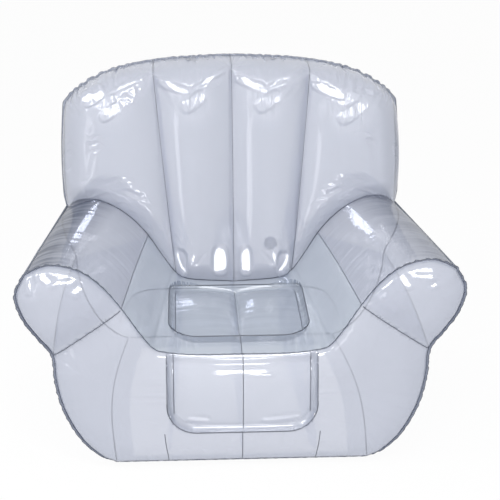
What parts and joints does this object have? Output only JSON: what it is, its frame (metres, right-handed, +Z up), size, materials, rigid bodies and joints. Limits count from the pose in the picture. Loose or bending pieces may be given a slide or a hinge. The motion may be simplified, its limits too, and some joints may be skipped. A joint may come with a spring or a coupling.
{
  "type": "inflatable lounge chair",
  "caption": "Clear inflatable armchair: welded film panels, a backrest of upright tubes, round arms, sunk pockets in the seat and front, and a plugged air valve at the back.",
  "frame": {"origin": "centre of the bounding box's bottom face, on the floor under the middle of the chair", "axes": "+X to the viewer's right in a front view, -Y the way the sitter faces, +Z up"},
  "size_m": [1.0566, 0.896, 0.8759],
  "materials": {
    "clear_film": "glossy",
    "web_film": "glossy",
    "fused_edge": "glossy",
    "soft_valve_plastic": "satin"
  },
  "bodies": {
    "chair": {"backrest_panel": "clear_film", "base_panel": "clear_film", "front_panel": "clear_film", "front_recess_panel": "clear_film", "left_arm_panel": "clear_film", "left_side_panel": "clear_film", "rear_base_panel": "clear_film", "rear_panel": "clear_film", "right_arm_panel": "clear_film", "right_side_panel": "clear_film", "seat_panel": "clear_film", "seat_recess_panel": "clear_film", "backrest_web_centre": "web_film", "backrest_web_left": "web_film", "backrest_web_right": "web_film", "left_arm_web": "web_film", "right_arm_web": "web_film", "seat_web_centre": "web_film", "seat_web_left": "web_film", "seat_web_right": "web_film", "backrest_junction_weld": "fused_edge", "front_panel_weld": "fused_edge", "front_recess_weld": "fused_edge", "left_arm_weld": "fused_edge", "left_base_weld": "fused_edge", "rear_arch_weld": "fused_edge", "rear_base_weld": "fused_edge", "rear_outline_weld": "fused_edge", "right_arm_weld": "fused_edge", "right_base_weld": "fused_edge", "seat_recess_weld": "fused_edge", "valve_flange": "soft_valve_plastic"},
    "stem": {"valve_stem": "soft_valve_plastic", "valve_strap": "soft_valve_plastic"},
    "flap": {"valve_flap": "soft_valve_plastic"},
    "stopper": {"valve_stopper": "soft_valve_plastic"}
  },
  "joints": [
    {"name": "stem_slide", "type": "slide", "parent": "chair", "child": "stem", "axis": [0, 0.9981, 0.0608], "range_m": [0, 0.012]},
    {"name": "flap_hinge", "type": "hinge", "parent": "stem", "child": "flap", "pos_m": [0.11084, 0.41562, 0.28781], "axis": [0, 0.0608, -0.9981], "range_deg": [0, 35], "stiffness_Nm_per_rad": 0.0005},
    {"name": "stopper_slide", "type": "slide", "parent": "stem", "child": "stopper", "axis": [0, 0.9981, 0.0608], "range_m": [0, 0.01]}
  ]
}
